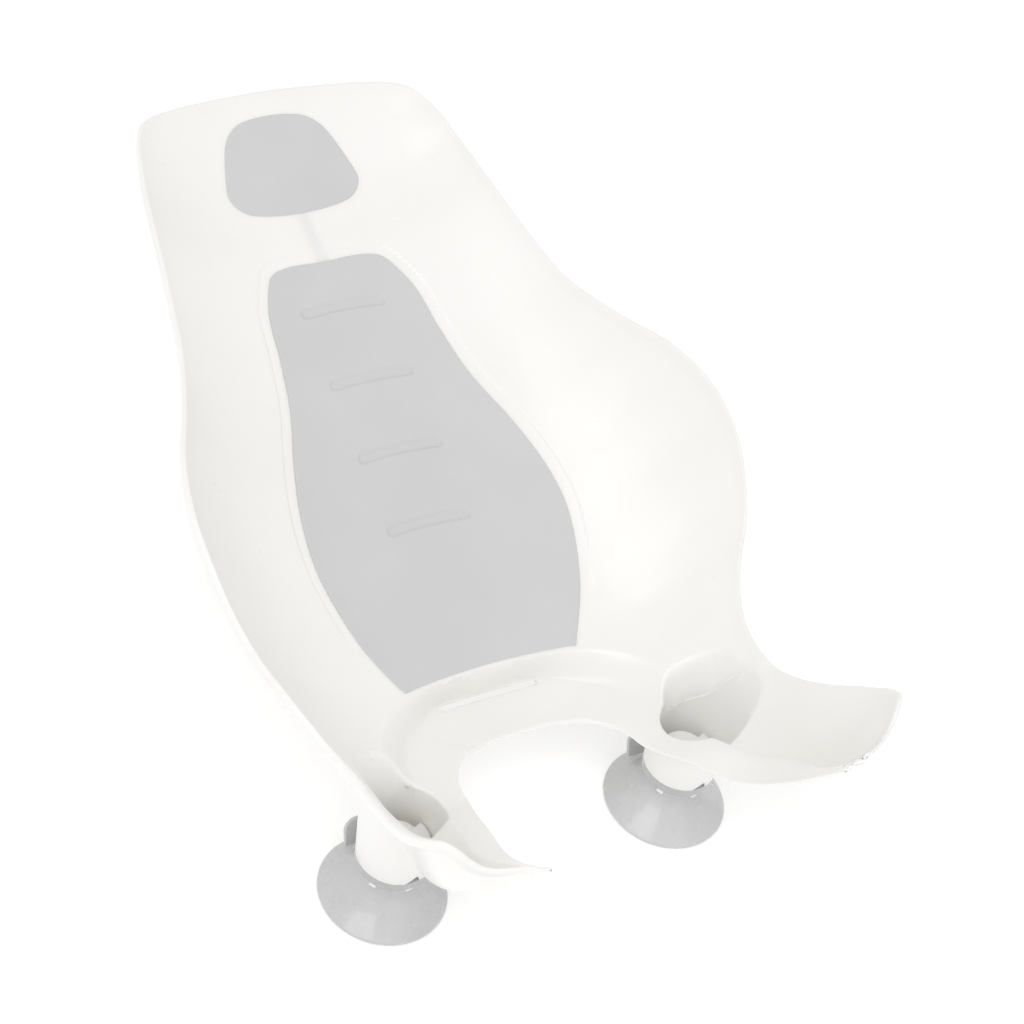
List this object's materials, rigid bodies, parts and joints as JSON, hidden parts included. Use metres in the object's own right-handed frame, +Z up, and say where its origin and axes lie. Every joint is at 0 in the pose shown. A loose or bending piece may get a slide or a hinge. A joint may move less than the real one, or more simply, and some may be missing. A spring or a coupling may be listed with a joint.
{
  "type": "infant bath support seat",
  "caption": "Reclined infant bath support: thin moulded shell with leg cut-out and soft back and head pads, standing on twist-in suction feet.",
  "frame": {"origin": "on the floor, in the middle of the seat's length and width", "axes": "+X to the child's left, +Y from the feet to the head, +Z up"},
  "size_m": [0.361, 0.5748, 0.2243],
  "materials": {
    "white_plastic": "satin moulded",
    "soft_grey": "matt soft-touch",
    "cup_rubber": "glossy soft",
    "collar_grey": "satin"
  },
  "bodies": {
    "seat": {"shell": "white_plastic", "back_pad": "soft_grey", "head_pad": "soft_grey", "pad_runner": "soft_grey", "rear_leg_left": "white_plastic", "rear_leg_right": "white_plastic"},
    "foot_front_left": {"suction_cup_front_left": "cup_rubber", "cup_collar_front_left": "collar_grey", "bayonet_plug_front_left": "white_plastic"},
    "tab_front_left": {"pull_tab_front_left": "cup_rubber"},
    "foot_front_right": {"suction_cup_front_right": "cup_rubber", "cup_collar_front_right": "collar_grey", "bayonet_plug_front_right": "white_plastic"},
    "tab_front_right": {"pull_tab_front_right": "cup_rubber"},
    "foot_rear_left": {"suction_cup_rear_left": "cup_rubber", "cup_collar_rear_left": "collar_grey", "bayonet_plug_rear_left": "white_plastic"},
    "tab_rear_left": {"pull_tab_rear_left": "cup_rubber"},
    "foot_rear_right": {"suction_cup_rear_right": "cup_rubber", "cup_collar_rear_right": "collar_grey", "bayonet_plug_rear_right": "white_plastic"},
    "tab_rear_right": {"pull_tab_rear_right": "cup_rubber"}
  },
  "joints": [
    {"name": "foot_twist_front_left", "type": "hinge", "parent": "seat", "child": "foot_front_left", "pos_m": [0.1, -0.1716, 0.0375], "axis": [0, 0, 1], "range_deg": [0, 60]},
    {"name": "tab_flex_front_left", "type": "hinge", "parent": "foot_front_left", "child": "tab_front_left", "pos_m": [0.1, -0.1411, 0.0096], "axis": [-1, 0, 0], "range_deg": [-15, 45], "stiffness_Nm_per_rad": 0.02},
    {"name": "foot_twist_front_right", "type": "hinge", "parent": "seat", "child": "foot_front_right", "pos_m": [-0.1, -0.1716, 0.0375], "axis": [0, 0, 1], "range_deg": [0, 60]},
    {"name": "tab_flex_front_right", "type": "hinge", "parent": "foot_front_right", "child": "tab_front_right", "pos_m": [-0.1, -0.1411, 0.0096], "axis": [-1, 0, 0], "range_deg": [-15, 45], "stiffness_Nm_per_rad": 0.02},
    {"name": "foot_twist_rear_left", "type": "hinge", "parent": "seat", "child": "foot_rear_left", "pos_m": [0.054, 0.0834, 0.0375], "axis": [0, 0, 1], "range_deg": [0, 60]},
    {"name": "tab_flex_rear_left", "type": "hinge", "parent": "foot_rear_left", "child": "tab_rear_left", "pos_m": [0.054, 0.1139, 0.0096], "axis": [-1, 0, 0], "range_deg": [-15, 45], "stiffness_Nm_per_rad": 0.02},
    {"name": "foot_twist_rear_right", "type": "hinge", "parent": "seat", "child": "foot_rear_right", "pos_m": [-0.054, 0.0834, 0.0375], "axis": [0, 0, 1], "range_deg": [0, 60]},
    {"name": "tab_flex_rear_right", "type": "hinge", "parent": "foot_rear_right", "child": "tab_rear_right", "pos_m": [-0.054, 0.1139, 0.0096], "axis": [-1, 0, 0], "range_deg": [-15, 45], "stiffness_Nm_per_rad": 0.02}
  ]
}
